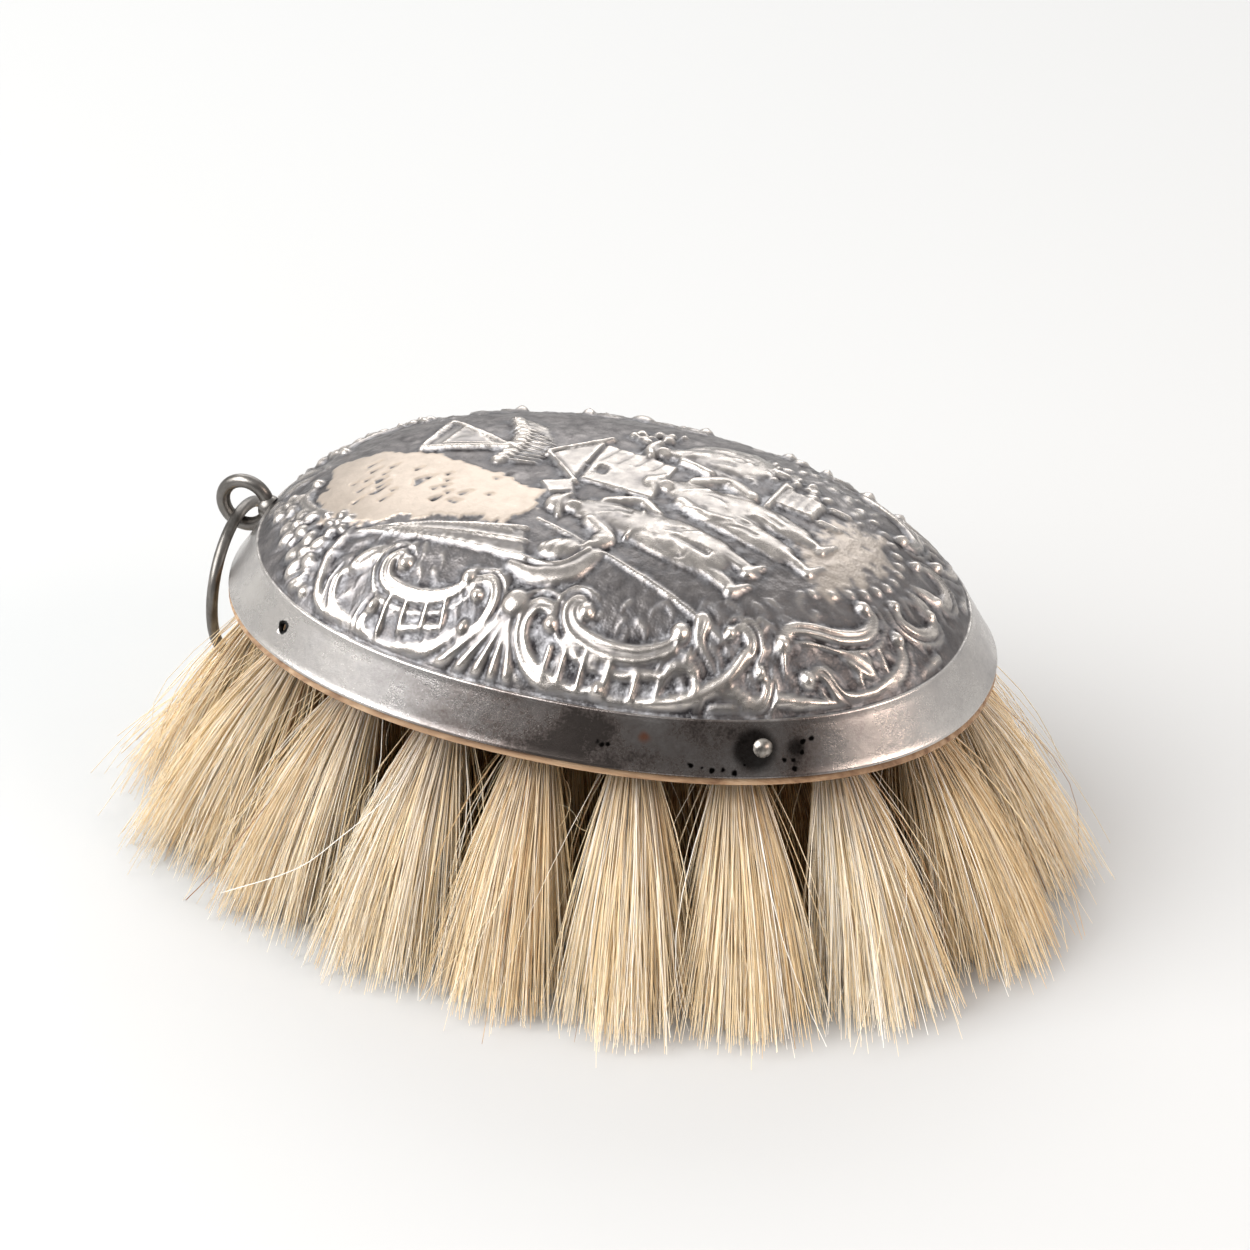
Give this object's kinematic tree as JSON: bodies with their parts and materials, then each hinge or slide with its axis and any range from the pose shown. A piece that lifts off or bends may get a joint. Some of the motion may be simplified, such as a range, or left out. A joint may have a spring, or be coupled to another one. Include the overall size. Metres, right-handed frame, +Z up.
{
  "type": "vanity hairbrush",
  "caption": "Oval hairbrush with a stamped silver back in high relief, a plain bevelled rim, drawn hair tufts and a free-swinging hanging ring at one end.",
  "frame": {"origin": "on the surface the brush stands on, under the middle of the oval, level with the cut ends of the hair", "axes": "+X along the length of the oval, away from the hanging eye; +Y across it; +Z up, from the hair tips to the silver back"},
  "size_m": [0.1304, 0.1012, 0.0523],
  "materials": {
    "silver": "sterling silver sheet stamped in relief, worn bright on the high places and tarnished dark in the recesses",
    "silver_pins": "drawn silver pins with domed heads, slightly tarnished",
    "silver_wire": "drawn silver wire, dull with grey tarnish",
    "stock_wood": "close-grained hardwood, oiled",
    "backing_wood": "thin glued board, bare",
    "pitch": "hardened pitch filling",
    "brass_wire": "soft drawn wire",
    "horsehair": "cream horsehair, natural sheen"
  },
  "bodies": {
    "root": {"backing_board": "backing_wood", "bristle_stock": "stock_wood", "draw_wire_inner": "brass_wire", "draw_wire_middle": "brass_wire", "draw_wire_outer": "brass_wire", "hanger_eye": "silver_wire", "pitch_fill": "pitch", "rim_pins": "silver_pins", "silver_back": "silver", "tuft_inner_01": "horsehair", "tuft_inner_02": "horsehair", "tuft_inner_03": "horsehair", "tuft_inner_04": "horsehair", "tuft_inner_05": "horsehair", "tuft_inner_06": "horsehair", "tuft_inner_07": "horsehair", "tuft_inner_08": "horsehair", "tuft_middle_01": "horsehair", "tuft_middle_02": "horsehair", "tuft_middle_03": "horsehair", "tuft_middle_04": "horsehair", "tuft_middle_05": "horsehair", "tuft_middle_06": "horsehair", "tuft_middle_07": "horsehair", "tuft_middle_08": "horsehair", "tuft_middle_09": "horsehair", "tuft_middle_10": "horsehair", "tuft_middle_11": "horsehair", "tuft_middle_12": "horsehair", "tuft_outer_01": "horsehair", "tuft_outer_02": "horsehair", "tuft_outer_03": "horsehair", "tuft_outer_04": "horsehair", "tuft_outer_05": "horsehair", "tuft_outer_06": "horsehair", "tuft_outer_07": "horsehair", "tuft_outer_08": "horsehair", "tuft_outer_09": "horsehair", "tuft_outer_10": "horsehair", "tuft_outer_11": "horsehair", "tuft_outer_12": "horsehair", "tuft_outer_13": "horsehair", "tuft_outer_14": "horsehair", "tuft_outer_15": "horsehair", "tuft_outer_16": "horsehair", "tuft_outer_17": "horsehair", "tuft_outer_18": "horsehair"},
    "ring": {"hanging_ring": "silver_wire"}
  },
  "joints": [
    {"name": "ring_swing", "type": "hinge", "parent": "root", "child": "ring", "pos_m": [-0.05291, 0, 0.0368], "axis": [0, 1, 0], "range_deg": [0, 230]}
  ]
}
